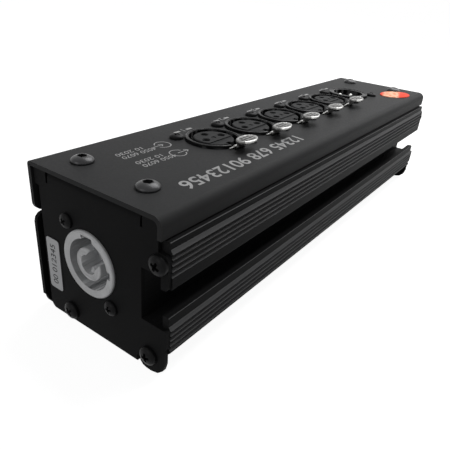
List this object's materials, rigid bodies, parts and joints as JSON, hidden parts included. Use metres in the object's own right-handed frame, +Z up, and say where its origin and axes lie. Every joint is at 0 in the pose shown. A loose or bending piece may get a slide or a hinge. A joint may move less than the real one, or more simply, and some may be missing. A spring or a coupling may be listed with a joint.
{
  "type": "dmx splitter",
  "caption": "Long box-shaped lighting signal splitter: round latching sockets in the cover, a slotted mounting rail along one side and a twist-lock mains socket at each end.",
  "frame": {"origin": "centre of the overall box at the height of the case's underside", "axes": "+X along the case from the mains outlet end to the mains inlet end, -Y out of the slotted rail, +Z up through the cover"},
  "size_m": [0.2386, 0.0592, 0.0596],
  "materials": {
    "cover_paint": "fine satin powder coat, very dark grey",
    "tray_paint": "satin powder coat, black",
    "rail_anodised": "black anodised extrusion",
    "socket_black": "moulded, semi-gloss black",
    "insert_black": "moulded, black",
    "nickel": "bright nickel plate",
    "black_steel": "black zinc plate",
    "grey_plastic": "moulded, light grey",
    "blue_plastic": "moulded, blue",
    "silver_plate": "satin silver, bare",
    "badge_enamel": "domed resin, red with an orange and cream band",
    "board_green": "solder mask with moulded components",
    "brown_insulation": "PVC insulation",
    "blue_insulation": "PVC insulation",
    "green_yellow_insulation": "PVC insulation, striped"
  },
  "bodies": {
    "case": {"top_cover": "cover_paint", "chassis_tray": "tray_paint", "side_rail": "rail_anodised", "signal_board": "board_green", "power_supply": "board_green", "badge": "badge_enamel", "rating_plate": "silver_plate", "live_lead": "brown_insulation", "neutral_lead": "blue_insulation", "earth_lead": "green_yellow_insulation", "input_socket": "socket_black", "input_pin_base": "insert_black", "power_outlet_shell": "grey_plastic", "power_outlet_core": "grey_plastic", "power_inlet_shell": "blue_plastic", "power_inlet_core": "blue_plastic", "output_socket_1": "socket_black", "output_insert_1": "insert_black", "output_1_screw_1": "black_steel", "output_1_screw_2": "black_steel", "output_socket_2": "socket_black", "output_insert_2": "insert_black", "output_2_screw_1": "black_steel", "output_2_screw_2": "black_steel", "output_socket_3": "socket_black", "output_insert_3": "insert_black", "output_3_screw_1": "black_steel", "output_3_screw_2": "black_steel", "output_socket_4": "socket_black", "output_insert_4": "insert_black", "output_4_screw_1": "black_steel", "output_4_screw_2": "black_steel", "output_socket_5": "socket_black", "output_insert_5": "insert_black", "output_5_screw_1": "black_steel", "output_5_screw_2": "black_steel", "input_pin_1": "nickel", "input_pin_2": "nickel", "input_pin_3": "nickel", "input_screw_1": "black_steel", "outlet_screw_1": "black_steel", "inlet_screw_1": "black_steel", "input_screw_2": "black_steel", "outlet_screw_2": "black_steel", "inlet_screw_2": "black_steel", "cover_screw_1": "black_steel", "cover_screw_2": "black_steel", "cover_screw_3": "black_steel", "cover_screw_4": "black_steel", "outlet_end_upper_rail_screw": "black_steel", "outlet_end_lower_rail_screw": "black_steel", "outlet_end_earth_screw": "black_steel", "inlet_end_upper_rail_screw": "black_steel", "inlet_end_lower_rail_screw": "black_steel", "inlet_end_earth_screw": "black_steel"},
    "latch_1": {"output_latch_1": "nickel"},
    "latch_2": {"output_latch_2": "nickel"},
    "latch_3": {"output_latch_3": "nickel"},
    "latch_4": {"output_latch_4": "nickel"},
    "latch_5": {"output_latch_5": "nickel"}
  },
  "joints": [
    {"name": "output_latch_1_press", "type": "hinge", "parent": "case", "child": "latch_1", "pos_m": [-0.0568, -0.0078, 0.0449], "axis": [1, 0, 0], "range_deg": [0, 5.5], "stiffness_Nm_per_rad": 0.3, "springref_deg": -2.86},
    {"name": "output_latch_2_press", "type": "hinge", "parent": "case", "child": "latch_2", "pos_m": [-0.0314, -0.0078, 0.0449], "axis": [1, 0, 0], "range_deg": [0, 5.5], "stiffness_Nm_per_rad": 0.3, "springref_deg": -2.86},
    {"name": "output_latch_3_press", "type": "hinge", "parent": "case", "child": "latch_3", "pos_m": [-0.006, -0.0078, 0.0449], "axis": [1, 0, 0], "range_deg": [0, 5.5], "stiffness_Nm_per_rad": 0.3, "springref_deg": -2.86},
    {"name": "output_latch_4_press", "type": "hinge", "parent": "case", "child": "latch_4", "pos_m": [0.0194, -0.0078, 0.0449], "axis": [1, 0, 0], "range_deg": [0, 5.5], "stiffness_Nm_per_rad": 0.3, "springref_deg": -2.86},
    {"name": "output_latch_5_press", "type": "hinge", "parent": "case", "child": "latch_5", "pos_m": [0.0448, -0.0078, 0.0449], "axis": [1, 0, 0], "range_deg": [0, 5.5], "stiffness_Nm_per_rad": 0.3, "springref_deg": -2.86}
  ]
}
